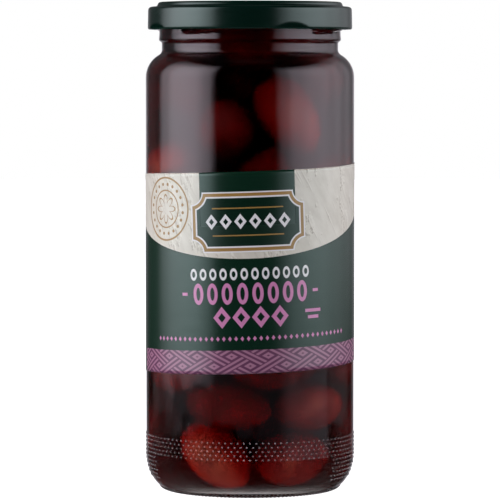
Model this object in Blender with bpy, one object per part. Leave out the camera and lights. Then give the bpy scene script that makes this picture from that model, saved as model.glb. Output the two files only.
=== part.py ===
"""A round glass jar of whole olives, shut by a steel twist-off lid, with a paper label wrapped round it.

The jar stands on the floor, its axis on Z and the middle of its label towards -Y. Lengths are in
millimetres and angles in degrees, and the meshes are made in metres."""

import math

import bmesh
import bpy
import numpy as np
from mathutils import Matrix, Vector

MM = 0.001
SEGMENTS = 48
GAP = 0.3

# Glass jar: body, heel, base and shoulder
BODY_RADIUS = 36.0
WALL = 2.2
HEEL_WIDTH = 8.3
HEEL_HEIGHT = 12.8
BEARING_WIDTH = 1.5
PUNT_HEIGHT = 2.6
FLOOR_EDGE = 3.2
FLOOR_RISE = 1.8
SHOULDER_START = 142.5
SHOULDER_RADIUS = 9.0
SHOULDER_SWEEP = 60.0
NECK_FILLET = 2.1

# Glass jar: neck and screw finish
GROOVE_TOP = 154.4
FINISH_RADIUS = 31.3
FINISH_START = 155.6
RIM_TOP = 167.2
RIM_ROUND = 1.3
MOUTH_RADIUS = 28.0
THREADS = 4
THREAD_PROUD = 1.6
THREAD_HALF_HEIGHT = 1.1
THREAD_LOW_END = -46.0
THREAD_SPAN = 78.0
THREAD_LOW = 158.1
THREAD_RISE = 2.9

# Steel twist-off lid
SHEET = 0.6
LID_RADIUS = 35.3
LID_BOTTOM = 159.0
LID_SHOULDER = 166.9
LID_TOP = 168.5
CHANNEL_OUTER = 32.0
CHANNEL_INNER = 27.2
PANEL_DROP = 1.5
BUTTON_RADIUS = 9.5
BUTTON_RISE = 0.5
HEM_WIDTH = 1.7
HEM_HEIGHT = 1.5
LUG_REACH = 32.2
LUG_HEIGHT = 0.6
LUG_TURN = 24.0
LUG_HALF_WIDTH = 8.0

# Paper label
LABEL_THICKNESS = 0.2
LABEL_BOTTOM = 43.1
LABEL_HEIGHT = 68.1
LABEL_SLOPE = 0.0335
LABEL_HALF_WRAP = 165.0

# Olives
OLIVE_LENGTH = 29.0
OLIVE_WIDTH = 18.4
OLIVE_EGG = 0.07
OLIVE_SIDES = 8
OLIVE_RINGS = 6
LAYERS = 9
LAYER_STEP = 16.6
FIRST_LAYER = 14.0
PER_LAYER = 6
FULL_TO = 157.0
CORE_RADIUS = 22.5
CORE_BOTTOM = 8.0
CORE_TOP = 140.0
CLEAR = 1.0
TOUCH = 0.5
SETTLE_ROUNDS = 500
SEED = 7

# Olives that show through the front of the glass: turn round the axis from the front, height of the
# middle, length, width, slope of the long axis along the wall, its turn towards the jar's axis, and
# distance off the glass
SHOWN_OLIVES = (
    (-20.0, 125.5, 24.0, 18.6, 66.0, 50.0, 0.0),
    (29.6, 129.6, 28.8, 18.4, -60.0, 4.0, 0.0),
    (-72.0, 111.5, 27.0, 18.2, 12.0, 10.0, 0.0),
    (9.5, 104.8, 28.0, 18.2, 74.0, 0.0, 1.0),
    (-33.0, 97.5, 24.0, 16.6, 76.0, 20.0, 6.0),
    (72.0, 107.5, 28.0, 18.0, 14.0, 0.0, 0.0),
    (-74.0, 138.5, 26.0, 17.2, -40.0, 10.0, 9.0),
    (86.0, 141.0, 26.0, 17.2, 40.0, 10.0, 6.0),
    (8.0, 151.0, 24.0, 17.2, 4.0, 10.0, 5.0),
    (-26.0, 14.7, 25.6, 17.8, -40.0, 0.0, 0.0),
    (32.0, 13.6, 25.4, 16.8, 2.0, 0.0, 0.0),
    (-16.5, 31.0, 28.0, 17.2, -8.0, 10.0, 1.6),
    (47.0, 30.4, 26.6, 16.8, 0.0, 0.0, 0.0),
    (-84.0, 20.0, 27.0, 17.8, 66.0, 0.0, 0.0),
    (91.0, 20.0, 27.0, 17.8, 72.0, 0.0, 0.0),
    (-62.0, 43.0, 27.0, 18.0, 10.0, 10.0, 0.0),
    (80.0, 46.0, 27.0, 18.0, -40.0, 8.0, 0.0),
)


def clear_scene():
    for thing in list(bpy.data.objects):
        bpy.data.objects.remove(thing, do_unlink=True)


def material(name, colour, roughness, metallic=0.0, see_through=0.0):
    made = bpy.data.materials.new(name)
    made.use_nodes = True
    shader = made.node_tree.nodes["Principled BSDF"]
    shader.inputs["Base Color"].default_value = (*colour, 1.0)
    shader.inputs["Roughness"].default_value = roughness
    shader.inputs["Metallic"].default_value = metallic
    shader.inputs["Transmission Weight"].default_value = see_through
    return made


def add_object(name, mesh, finish):
    made = bpy.data.objects.new(name, mesh)
    bpy.context.scene.collection.objects.link(made)
    mesh.materials.clear()
    mesh.materials.append(finish)
    return made


def smooth(mesh, angle):
    mesh.shade_smooth()
    mesh.set_sharp_from_angle(angle=math.radians(angle))


def turned(name, profile, first_turn=0.0):
    """A mesh turned round Z from an open profile of (radius, height) whose two ends lie on the axis."""
    work = bmesh.new()
    turn = Matrix.Rotation(math.radians(first_turn), 3, "Z")
    points = [work.verts.new(turn @ Vector((radius, 0.0, height)) * MM) for radius, height in profile]
    lines = [work.edges.new(pair) for pair in zip(points, points[1:])]
    bmesh.ops.spin(
        work,
        geom=points + lines,
        axis=(0.0, 0.0, 1.0),
        cent=(0.0, 0.0, 0.0),
        steps=SEGMENTS,
        angle=math.tau,
    )
    bmesh.ops.remove_doubles(work, verts=work.verts, dist=1e-6)
    bmesh.ops.recalc_face_normals(work, faces=work.faces)
    mesh = bpy.data.meshes.new(name)
    work.to_mesh(mesh)
    work.free()
    return mesh


def arc(centre, across, up, start, end, steps):
    """Points on an arc of an ellipse, with both of its ends."""
    found = []
    for step in range(steps + 1):
        angle = math.radians(start + (end - start) * step / steps)
        found.append((centre[0] + across * math.cos(angle), centre[1] + up * math.sin(angle)))
    return found


def shoulder(body_radius, bend, fillet, steps):
    """The curve from the body up to the neck, an arc outwards and a fillet back to upright."""
    curve = arc((body_radius - bend, SHOULDER_START), bend, bend, 0.0, SHOULDER_SWEEP, steps)
    last_radius, last_height = curve[-1]
    sweep = math.radians(SHOULDER_SWEEP)
    middle = (last_radius + fillet * math.cos(sweep), last_height + fillet * math.sin(sweep))
    return curve + arc(middle, -fillet, -fillet, SHOULDER_SWEEP, 0.0, 2)[1:]


def jar_outside():
    """From the middle of the base, out over the heel and up to the rim."""
    heel_start = BODY_RADIUS - HEEL_WIDTH
    punt_edge = heel_start - BEARING_WIDTH
    punt = []
    for share in (0.0, 0.35, 0.65, 0.9):
        punt.append((punt_edge * share, PUNT_HEIGHT * (1.0 - share**2)))
    heel = arc((heel_start, HEEL_HEIGHT), HEEL_WIDTH, HEEL_HEIGHT, -90.0, 0.0, 6)
    upper = shoulder(BODY_RADIUS, SHOULDER_RADIUS, NECK_FILLET, 5)
    groove_radius = upper[-1][0]
    thread_zone = [(FINISH_RADIUS, FINISH_START + 0.9 * step) for step in range(8)]
    rim = arc((FINISH_RADIUS - RIM_ROUND, RIM_TOP - RIM_ROUND), RIM_ROUND, RIM_ROUND, 0.0, 90.0, 2)
    return (
        punt
        + [(punt_edge, 0.0)]
        + heel
        + upper
        + [(groove_radius, GROOVE_TOP)]
        + thread_zone
        + rim
    )


def jar_inside():
    """From the rim down the inside to the middle of the floor."""
    inner = BODY_RADIUS - WALL
    rim = arc((MOUTH_RADIUS + RIM_ROUND, RIM_TOP - RIM_ROUND), RIM_ROUND, RIM_ROUND, 90.0, 180.0, 2)
    upper = shoulder(inner, SHOULDER_RADIUS, NECK_FILLET, 4)[::-1]
    neck = [(MOUTH_RADIUS, SHOULDER_START + SHOULDER_RADIUS + 3.0)]
    floor_radius = inner - HEEL_WIDTH
    heel = arc((floor_radius, FLOOR_EDGE + HEEL_HEIGHT), HEEL_WIDTH, HEEL_HEIGHT, 0.0, -90.0, 5)
    floor = []
    for share in (0.7, 0.35, 0.0):
        floor.append((floor_radius * share, FLOOR_EDGE + FLOOR_RISE * (1.0 - share**2)))
    return rim + neck + [point for point in upper if point[0] >= MOUTH_RADIUS + 0.2] + heel + floor


def inner_radius(height):
    """Radius of the jar's inside at a height, for an array of heights."""
    inner = BODY_RADIUS - WALL
    rise = np.clip(height - SHOULDER_START, 0.0, SHOULDER_RADIUS * 0.86)
    at_shoulder = inner - SHOULDER_RADIUS + np.sqrt(SHOULDER_RADIUS**2 - rise**2)
    drop = np.clip(FLOOR_EDGE + HEEL_HEIGHT - height, 0.0, HEEL_HEIGHT * 0.99)
    at_heel = inner - HEEL_WIDTH + HEEL_WIDTH * np.sqrt(1.0 - (drop / HEEL_HEIGHT) ** 2)
    return np.minimum(np.maximum(at_shoulder, MOUTH_RADIUS), at_heel)


def thread_height(turn, height):
    """How far a thread stands out of the neck at a turn from the front and a height."""
    along = (turn - THREAD_LOW_END) % (360.0 / THREADS)
    if along > THREAD_SPAN:
        return 0.0
    middle = THREAD_LOW + THREAD_RISE * along / THREAD_SPAN
    across = abs(height - middle) / THREAD_HALF_HEIGHT
    ends = min(1.0, (along + 3.0) / 9.0, (THREAD_SPAN + 3.0 - along) / 12.0)
    return THREAD_PROUD * ends * max(0.0, 1.0 - across**2)


def front_turn(point):
    """Turn of a point round the axis, from the front and towards +X, in degrees."""
    return math.degrees(math.atan2(point.x, -point.y))


def make_jar(finish):
    mesh = turned("jar_glass", jar_outside() + jar_inside())
    outer = FINISH_RADIUS * MM
    for vertex in mesh.vertices:
        radius = math.hypot(vertex.co.x, vertex.co.y)
        height = vertex.co.z / MM
        if abs(radius - outer) < 1e-5 and FINISH_START < height < RIM_TOP - RIM_ROUND:
            grown = radius + thread_height(front_turn(vertex.co), height) * MM
            vertex.co.x *= grown / radius
            vertex.co.y *= grown / radius
    smooth(mesh, 40)
    return add_object("jar_glass", mesh, finish)


def offset_line(points, distance):
    """The profile moved sideways by a distance, to the left of its direction."""
    moved = []
    for index, (radius, height) in enumerate(points):
        before = points[max(index - 1, 0)]
        after = points[min(index + 1, len(points) - 1)]
        along = Vector((after[0] - before[0], after[1] - before[1])).normalized()
        moved.append((max(radius - along.y * distance, 0.0), height + along.x * distance))
    return moved


def lid_skin():
    """The outer face of the lid's sheet, from the foot of its skirt to the middle of its panel."""
    panel = LID_TOP - PANEL_DROP
    return [
        (LID_RADIUS, LID_BOTTOM + HEM_HEIGHT),
        (LID_RADIUS - 0.1, LID_SHOULDER - 1.6),
        (LID_RADIUS - 0.4, LID_SHOULDER - 0.8),
        (LID_RADIUS - 1.3, LID_SHOULDER - 0.1),
        (CHANNEL_OUTER + 0.2, LID_SHOULDER + 0.1),
        (CHANNEL_OUTER - 0.3, LID_TOP - 0.5),
        (CHANNEL_OUTER - 0.9, LID_TOP),
        (CHANNEL_INNER + 0.6, LID_TOP),
        (CHANNEL_INNER, LID_TOP - 0.5),
        (CHANNEL_INNER - 0.2, panel + 0.3),
        (CHANNEL_INNER - 0.8, panel),
        (BUTTON_RADIUS + 1.0, panel),
        (BUTTON_RADIUS - 1.0, panel + BUTTON_RISE * 0.7),
        (0.0, panel + BUTTON_RISE),
    ]


def lid_hem():
    """The rolled edge at the foot of the skirt, from its inner top round to its outer side."""
    inner = LID_RADIUS - HEM_WIDTH
    return [
        (inner + 0.4, LID_BOTTOM + HEM_HEIGHT),
        (inner, LID_BOTTOM + HEM_HEIGHT * 0.7),
        (inner, LID_BOTTOM + 0.3),
        (inner + 0.3, LID_BOTTOM),
        (LID_RADIUS - 0.5, LID_BOTTOM),
        (LID_RADIUS, LID_BOTTOM + 0.5),
    ]


def make_lid(finish):
    """The lid, with its lugs drawn in from the hem to lie under the threads."""
    skin = lid_skin()
    lining = offset_line(skin, SHEET)[::-1]
    lining[0] = (0.0, skin[-1][1] - SHEET)
    mesh = turned("lid", lining + lid_hem() + skin, LUG_TURN)
    hem_inner = LID_RADIUS - HEM_WIDTH
    for vertex in mesh.vertices:
        radius = math.hypot(vertex.co.x, vertex.co.y) / MM
        height = vertex.co.z / MM
        from_lug = (front_turn(vertex.co) - LUG_TURN + 45.0) % 90.0 - 45.0
        if radius > hem_inner + 0.5 or height > LID_BOTTOM + HEM_HEIGHT + 0.1:
            continue
        if radius < hem_inner - 0.5 or abs(from_lug) > LUG_HALF_WIDTH:
            continue
        lifted = LID_BOTTOM + LUG_HEIGHT * (height - LID_BOTTOM) / HEM_HEIGHT
        grown = (radius - hem_inner + LUG_REACH) / radius
        vertex.co = (vertex.co.x * grown, vertex.co.y * grown, lifted * MM)
    smooth(mesh, 40)
    return add_object("lid", mesh, finish)


def make_label(finish):
    """A thin strip wrapped round the jar a little askew, its ends apart at the back."""
    work = bmesh.new()
    inner = BODY_RADIUS + GAP
    outer = inner + LABEL_THICKNESS
    steps = round(2.0 * LABEL_HALF_WRAP * SEGMENTS / 360.0)
    loops = []
    for step in range(steps + 1):
        turn = math.radians(-LABEL_HALF_WRAP + 2.0 * LABEL_HALF_WRAP * step / steps)
        low = LABEL_BOTTOM + LABEL_SLOPE * BODY_RADIUS * turn
        corners = ((inner, low), (outer, low), (outer, low + LABEL_HEIGHT), (inner, low + LABEL_HEIGHT))
        direction = Vector((math.sin(turn), -math.cos(turn), 0.0))
        loops.append([
            work.verts.new((direction * radius + Vector((0.0, 0.0, height))) * MM)
            for radius, height in corners
        ])
    for here, there in zip(loops, loops[1:]):
        for side in range(4):
            after = (side + 1) % 4
            work.faces.new((here[side], there[side], there[after], here[after]))
    work.faces.new(loops[0])
    work.faces.new(loops[-1])
    bmesh.ops.recalc_face_normals(work, faces=work.faces)
    mesh = bpy.data.meshes.new("label")
    work.to_mesh(mesh)
    work.free()
    smooth(mesh, 30)
    return add_object("label", mesh, finish)


def along_wall(turn, slope, inward):
    """Direction of an olive's long axis, from its slope along the wall and its turn inwards."""
    turn, slope, inward = (math.radians(angle) for angle in (turn, slope, inward))
    outwards = np.array((math.sin(turn), -math.cos(turn), 0.0))
    sideways = np.array((math.cos(turn), math.sin(turn), 0.0))
    flat = sideways * math.cos(slope) + np.array((0.0, 0.0, math.sin(slope)))
    return flat * math.cos(inward) + outwards * math.sin(inward)


def balls_of(middle, along, half_length, half_width):
    """Three balls along each olive: their places, radii and arms."""
    count = len(middle)
    owner = np.repeat(np.arange(count), 3)
    side = np.tile((-1.0, 0.0, 1.0), count)
    ball = np.where(side == 0.0, half_width[owner], 0.86 * half_width[owner])
    arm = along[owner] * (side * (half_length - 0.86 * half_width)[owner])[:, None]
    return owner, ball, arm, middle[owner] + arm


def wall_push(place, ball):
    """How far the glass, the floor and the fill level push balls of these radii back."""
    radius = np.hypot(place[:, 0], place[:, 1]) + 1e-9
    push = np.zeros_like(place)
    for angle in np.radians((-70.0, -45.0, -20.0, 0.0, 20.0, 45.0, 70.0)):
        height = place[:, 2] + ball * math.sin(angle)
        over = np.clip(radius + ball * math.cos(angle) - inner_radius(height), 0.0, None)
        push[:, :2] -= place[:, :2] / radius[:, None] * over[:, None] * math.cos(angle) * 0.4
        push[:, 2] -= over * math.sin(angle) * 0.4
    push[:, 2] += np.clip(FLOOR_EDGE + FLOOR_RISE + ball - place[:, 2], 0.0, None) * 0.6
    push[:, 2] -= np.clip(place[:, 2] + ball - FULL_TO, 0.0, None) * 0.6
    return push


def touching_reach(turn, height, along, half_length, half_width):
    """How far from the axis an olive's middle is when the olive touches the glass."""
    angle = math.radians(turn)
    outwards = np.array((math.sin(turn * math.pi / 180.0), -math.cos(angle), 0.0))
    reach = float(inner_radius(np.array(height))) - half_width
    while reach > 0.0:
        middle = outwards * reach + np.array((0.0, 0.0, height))
        sizes = (np.array((half_length,)), np.array((half_width,)))
        _, ball, _, place = balls_of(middle[None], along[None], *sizes)
        radius = np.hypot(place[:, 0], place[:, 1])
        rows = np.radians((-70.0, -45.0, -20.0, 0.0, 20.0, 45.0, 70.0))[:, None]
        edge = radius + (ball + TOUCH) * np.cos(rows)
        if (edge <= inner_radius(place[:, 2] + (ball + TOUCH) * np.sin(rows))).all():
            break
        reach -= 0.1
    return reach


def first_places():
    """Olives as rows of middle, direction, half length, half width and freedom to move."""
    rows = []

    def add(turn, reach, height, length, width, slope, inward, free):
        angle = math.radians(turn)
        middle = (reach * math.sin(angle), -reach * math.cos(angle), height)
        rows.append((*middle, *along_wall(turn, slope, inward), length / 2.0, width / 2.0, free))

    for turn, height, length, width, slope, inward, off in SHOWN_OLIVES:
        along = along_wall(turn, slope, inward)
        reach = touching_reach(turn, height, along, length / 2.0, width / 2.0) - off
        add(turn, reach, height, length, width, slope, inward, 0.0)
    shown = np.array(rows)[:, :3]
    draw = np.random.default_rng(SEED)
    for layer in range(LAYERS):
        height = FIRST_LAYER + layer * LAYER_STEP
        for place in range(PER_LAYER):
            turn = (place + 0.5 * (layer % 2)) * 360.0 / PER_LAYER + draw.uniform(-6.0, 6.0)
            length = OLIVE_LENGTH * draw.uniform(0.92, 1.06)
            width = OLIVE_WIDTH * draw.uniform(0.93, 1.05)
            slope = draw.normal(0.0, 30.0)
            inward = draw.uniform(-20.0, 20.0)
            reach = float(inner_radius(np.array(height))) - width / 2.0 - GAP
            angle = math.radians(turn)
            middle = np.array((reach * math.sin(angle), -reach * math.cos(angle), height))
            if np.linalg.norm(shown - middle, axis=1).min() > 0.8 * OLIVE_WIDTH:
                add(turn, reach, height, length, width, slope, inward, 1.0)
    for layer in range(4):
        height = 24.0 + 29.0 * layer
        add(draw.uniform(0.0, 360.0), 2.0, height, OLIVE_LENGTH, OLIVE_WIDTH, 80.0, 0.0, 1.0)
    return np.array(rows)


def settled_olives():
    """The olives pushed apart until none sinks into another or the glass. The shown ones stay."""
    rows = first_places()
    middle, along = rows[:, :3].copy(), rows[:, 3:6].copy()
    half_length, half_width, free = rows[:, 6], rows[:, 7], rows[:, 8]
    count = len(rows)
    for _ in range(SETTLE_ROUNDS):
        owner, ball, arm, place = balls_of(middle, along, half_length, half_width)
        apart = place[:, None] - place[None]
        distance = np.linalg.norm(apart, axis=2) + 1e-9
        sunk = np.clip(ball[:, None] + ball[None] - distance, 0.0, None)
        sunk[owner[:, None] == owner[None]] = 0.0
        push = (apart / distance[..., None] * sunk[..., None]).sum(axis=1) * 0.25
        push = (push + wall_push(place, ball + CLEAR)) * free[owner][:, None]
        middle += push.reshape(count, 3, 3).sum(axis=1) * 0.7
        twist = np.cross(arm, push).reshape(count, 3, 3).sum(axis=1)
        along += np.cross(twist / half_length[:, None] ** 2, along)
        along /= np.linalg.norm(along, axis=1)[:, None]
    return middle, along, half_length, half_width


def olive_mesh(half_length, half_width):
    """One olive along Z, a little narrower towards its tip."""
    work = bmesh.new()
    bmesh.ops.create_uvsphere(work, u_segments=OLIVE_SIDES, v_segments=OLIVE_RINGS, radius=1.0)
    for vertex in work.verts:
        width = half_width * (1.0 - OLIVE_EGG * vertex.co.z)
        vertex.co = Vector((vertex.co.x * width, vertex.co.y * width, vertex.co.z * half_length)) * MM
    mesh = bpy.data.meshes.new("olive")
    work.to_mesh(mesh)
    work.free()
    return mesh


def drop_inner_shells(mesh):
    """Fills the hollows that the union sealed, and drops loose scraps, by keeping the largest shell."""
    work = bmesh.new()
    work.from_mesh(mesh)
    waiting = set(work.faces)
    shells = []
    while waiting:
        shell = {waiting.pop()}
        edge_of_shell = list(shell)
        while edge_of_shell:
            face = edge_of_shell.pop()
            for line in face.edges:
                for neighbour in line.link_faces:
                    if neighbour in waiting:
                        waiting.remove(neighbour)
                        shell.add(neighbour)
                        edge_of_shell.append(neighbour)
        shells.append(shell)
    largest = max(shells, key=len)
    spare = [face for shell in shells if shell is not largest for face in shell]
    if spare:
        bmesh.ops.delete(work, geom=spare, context="FACES")
        loose = [vertex for vertex in work.verts if not vertex.link_faces]
        bmesh.ops.delete(work, geom=loose, context="VERTS")
    work.to_mesh(mesh)
    work.free()


def make_olives(finish):
    """The heap: a plain core, with the olives that show fused on."""
    pieces = bpy.data.collections.new("olive_pieces")
    bpy.context.scene.collection.children.link(pieces)
    for middle, along, half_length, half_width in zip(*settled_olives()):
        if math.hypot(middle[0], middle[1]) + half_width < CORE_RADIUS:
            continue
        piece = bpy.data.objects.new("olive_piece", olive_mesh(half_length, half_width))
        piece.location = Vector(middle) * MM
        piece.rotation_euler = Vector(along).to_track_quat("Z", "Y").to_euler()
        pieces.objects.link(piece)
    profile = [
        (0.0, CORE_BOTTOM),
        (CORE_RADIUS - 4.0, CORE_BOTTOM),
        (CORE_RADIUS, CORE_BOTTOM + 4.0),
        (CORE_RADIUS, CORE_TOP - 6.0),
        (CORE_RADIUS - 6.0, CORE_TOP),
        (0.0, CORE_TOP),
    ]
    core = add_object("olives", turned("olives", profile, 3.0), finish)
    join = core.modifiers.new("join", "BOOLEAN")
    join.operation = "UNION"
    join.operand_type = "COLLECTION"
    join.collection = pieces
    join.solver = "EXACT"
    bpy.context.view_layer.update()
    graph = bpy.context.evaluated_depsgraph_get()
    joined = bpy.data.meshes.new_from_object(core.evaluated_get(graph))
    core.modifiers.clear()
    core.data = joined
    for piece in list(pieces.objects):
        bpy.data.objects.remove(piece, do_unlink=True)
    bpy.data.collections.remove(pieces)
    drop_inner_shells(joined)
    joined.materials.clear()
    joined.materials.append(finish)
    smooth(joined, 50)
    return core


def main():
    clear_scene()
    make_jar(material("glass", (0.86, 0.9, 0.88), 0.04, see_through=0.95))
    make_lid(material("lid_enamel", (0.005, 0.05, 0.03), 0.28, metallic=0.2))
    make_label(material("label_paper", (0.02, 0.09, 0.06), 0.4))
    make_olives(material("olive_skin", (0.10, 0.012, 0.014), 0.3))


main()
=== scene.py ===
# %% [markdown]
# # A jar of olives
#
# The object is a tall round glass jar, shut by a green steel twist-off lid. Large dark olives fill it,
# in a brine that is nearly black where it is deep. A paper label wraps the middle, a little askew.
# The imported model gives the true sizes. This script dresses it: each solid is replaced by a finer
# piece of the same form, and the brine, which has no solid, is poured round the olives.

# %% Load the frame
import math

import bpy
import numpy as np
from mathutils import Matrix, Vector


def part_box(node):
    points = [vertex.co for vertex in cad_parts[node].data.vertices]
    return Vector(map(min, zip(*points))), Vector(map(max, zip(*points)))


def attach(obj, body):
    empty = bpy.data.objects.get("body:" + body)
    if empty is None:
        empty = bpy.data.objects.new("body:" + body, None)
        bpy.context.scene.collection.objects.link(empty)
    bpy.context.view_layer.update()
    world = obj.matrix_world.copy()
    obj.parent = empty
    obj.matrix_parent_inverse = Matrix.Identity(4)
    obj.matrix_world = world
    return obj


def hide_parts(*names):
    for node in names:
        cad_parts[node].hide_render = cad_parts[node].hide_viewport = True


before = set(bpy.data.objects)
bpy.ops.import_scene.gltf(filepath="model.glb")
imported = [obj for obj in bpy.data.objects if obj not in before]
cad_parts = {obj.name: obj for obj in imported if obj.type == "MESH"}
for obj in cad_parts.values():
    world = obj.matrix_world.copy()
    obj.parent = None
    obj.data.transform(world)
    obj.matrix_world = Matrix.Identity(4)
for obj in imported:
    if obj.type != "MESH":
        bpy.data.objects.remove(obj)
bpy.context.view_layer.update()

MM = 0.001
scene = bpy.context.scene

# %% [markdown]
# ## The camera
#
# The photograph is a product shot from a little over a metre away with a long lens. The level line
# passes through the shoulder of the jar, so the camera stands at that height and tips down until the
# jar fills the frame. A shifted lens would frame it too, but it would throw off every other view.

# %% Place the camera
PICTURE_PIXELS = 500
FOCAL_PIXELS = 3255.0
CAMERA_DISTANCE = 1.127
CAMERA_HEIGHT = 0.1475
LEVEL_ROW = 63.0
SENSOR = 36.0

camera_data = bpy.data.cameras.new("camera")
camera_data.sensor_width = SENSOR
camera_data.lens = SENSOR * FOCAL_PIXELS / PICTURE_PIXELS
camera_data.clip_end = 50.0
camera = bpy.data.objects.new("camera", camera_data)
tip = math.atan((PICTURE_PIXELS / 2 - LEVEL_ROW) / FOCAL_PIXELS)
camera.location = (0.0, -CAMERA_DISTANCE, CAMERA_HEIGHT)
camera.rotation_euler = (math.pi / 2 - tip, 0.0, 0.0)
scene.collection.objects.link(camera)
scene.camera = camera
print("lens mm:", round(camera_data.lens, 1), "tipped down degrees:", round(math.degrees(tip), 2))

# %% [markdown]
# ## Node maths as Python
#
# Materials and geometry trees are both webs of nodes. Wiring them by hand is long to read, so one
# small class wraps a socket and lets ordinary arithmetic be written on it: every sign adds a Math
# node. One method adds any other node, its settings first and then its sockets.

# %% Wrap a socket and a tree
class Wire:
    """A node's output that arithmetic can be written on."""

    def __init__(self, tree, socket):
        self.tree = tree
        self.socket = socket

    def math(self, operation, *others, clamp=False):
        return self.tree.math(operation, self, *others, clamp=clamp)

    def __add__(self, other):
        return self.math("ADD", other)

    __radd__ = __add__

    def __sub__(self, other):
        return self.math("SUBTRACT", other)

    def __rsub__(self, other):
        return self.tree.math("SUBTRACT", other, self)

    def __mul__(self, other):
        return self.math("MULTIPLY", other)

    __rmul__ = __mul__

    def __truediv__(self, other):
        return self.math("DIVIDE", other)

    def __rtruediv__(self, other):
        return self.tree.math("DIVIDE", other, self)

    def __pow__(self, other):
        return self.math("POWER", other)

    def __neg__(self):
        return self.math("MULTIPLY", -1.0)

    def __abs__(self):
        return self.math("ABSOLUTE")

    def least(self, other):
        return self.math("MINIMUM", other)

    def most(self, other):
        return self.math("MAXIMUM", other)

    def above(self, other):
        return self.math("GREATER_THAN", other)

    def below(self, other):
        return self.math("LESS_THAN", other)

    def clamped(self):
        return self.math("ADD", 0.0, clamp=True)


class Tree:
    """The nodes of a material, a world or a geometry group."""

    def __init__(self, tree):
        self.tree = tree

    def node(self, kind, settings=None, inputs=None, output=0):
        made = self.tree.nodes.new(kind)
        for name, value in (settings or {}).items():
            if name == "stops":
                self.set_stops(made.color_ramp, value)
            elif name == "easing":
                made.color_ramp.interpolation = value
            else:
                setattr(made, name, value)
        for name, value in (inputs or {}).items():
            if isinstance(value, Wire):
                self.tree.links.new(value.socket, made.inputs[name])
            else:
                made.inputs[name].default_value = value
        return Wire(self, made.outputs[output]) if made.outputs else made

    def set_stops(self, ramp, stops):
        while len(ramp.elements) < len(stops):
            ramp.elements.new(1.0)
        for element, (place, shade) in zip(ramp.elements, stops):
            element.position = place
            element.color = shade if isinstance(shade, tuple) else (shade, shade, shade, 1.0)

    def math(self, operation, *values, clamp=False):
        settings = {"operation": operation, "use_clamp": clamp}
        return self.node("ShaderNodeMath", settings, dict(enumerate(values)))

    def vector_math(self, operation, *values, output=0):
        kind = "ShaderNodeVectorMath"
        return self.node(kind, {"operation": operation}, dict(enumerate(values)), output)

    def mix(self, factor, first, second):
        inputs = {0: factor, 6: first, 7: second}
        return self.node("ShaderNodeMix", {"data_type": "RGBA"}, inputs, 2)

    def split(self, vector):
        made = self.node("ShaderNodeSeparateXYZ", None, {0: vector})
        return [Wire(self, socket) for socket in made.socket.node.outputs]

    def join(self, x, y, z):
        return self.node("ShaderNodeCombineXYZ", None, {0: x, 1: y, 2: z})

    def noise(self, vector, scale, detail=3.0, roughness=0.5):
        inputs = {"Vector": vector, "Scale": scale, "Detail": detail, "Roughness": roughness}
        return self.node("ShaderNodeTexNoise", None, inputs)

    def ramp(self, value, stops, easing="LINEAR"):
        return self.node("ShaderNodeValToRGB", {"stops": stops, "easing": easing}, {0: value})

    def rescaled(self, value, low, high):
        return ((value - low) / (high - low)).clamped()


def shade(red, green, blue):
    """The linear colour of a screen colour of 0 to 255 a channel."""
    channels = (value / 255.0 for value in (red, green, blue))
    linear = [c / 12.92 if c <= 0.04045 else ((c + 0.055) / 1.055) ** 2.4 for c in channels]
    return (*linear, 1.0)


print("mid grey is", round(shade(128, 128, 128)[0], 3), "in linear light")

# %% [markdown]
# ## Light and floor
#
# The glass shows what lights it: a tall soft box to the left and a wider one to the right, darkness
# between them behind the camera, and a white wall behind the jar that pales its edges. Under the
# boxes a faint sheen goes on, where the lower third of the glass looks. Area lamps could stand
# there, but boxes painted on the sky have the same look from every side and keep the floor evenly
# lit. The floor is a plain pale disc, and the glass doesn't mirror it, because the jar was shot
# standing clear of any table.
#
# A bearing is an angle round the jar, 0 towards the camera and growing to the right. A rise is an
# angle above the level. Both are in degrees.

# %% Paint the soft boxes on the sky
BOX_GLOW = 4.6
BOX_TINT = (1.0, 0.965, 1.045, 1.0)
LEFT_BOX = ((-122, 0.02), (-109, 0.39), (-92, 0.84), (-76, 1), (-62, 0.95), (-48, 0.58), (-36, 0))
RIGHT_BOX = (
    (27, 0), (40, 0.25), (50, 0.51), (70, 0.67), (86, 0.66), (107, 0.43), (130, 0.20), (155, 0.05)
)
BOX_RISE = ((-5.4, 0), (-4.2, 0.70), (0, 0.92), (14, 1), (30, 0.95), (44, 0.35), (51, 0))
RIGHT_RISE = 1.14
BACK_WALL = ((150, 0), (158, 0.12), (166, 0.30), (180, 0.54))
BACK_WALL_FOOT = -30.0
BACK_WALL_TOP = 1.0
LEFT_SHEEN = (
    (-112, 0), (-104, 0.14), (-92, 0.20), (-80, 0.26), (-60, 0.24), (-40, 0.12), (0, 0.08), (30, 0)
)
LEFT_SHEEN_FOOT = -6.55
RIGHT_SHEEN = ((0, 0), (30, 0.10), (50, 0.40), (92, 0.40), (98, 0))
RIGHT_SHEEN_FOOT = -7.6
EDGE_SHEEN = ((92, 0), (100, 0.14), (128, 0.10), (140, 0))
EDGE_SHEEN_FOOT = -6.2
SHEEN_TOP = -4.6
TABLE_GLOW = 0.3
TABLE_FROM = -58.0
CEILING_GLOW = 0.02
CEILING_FROM = 66.0

world = bpy.data.worlds.new("studio")
world.use_nodes = True
world.node_tree.nodes.clear()
sky = Tree(world.node_tree)
direction = sky.node("ShaderNodeTexCoord", output="Generated")
east, north, up = sky.split(direction)
bearing = sky.math("ARCTAN2", east, -north) * (180.0 / math.pi)
rise = up.math("ARCSINE") * (180.0 / math.pi)


def glow_by_angle(angle, stops):
    """Brightness that eases between stops of (degrees, brightness)."""
    places = [((degrees + 180.0) / 360.0, glow) for degrees, glow in stops]
    return sky.ramp((angle + 180.0) / 360.0, places, "EASE")


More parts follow.
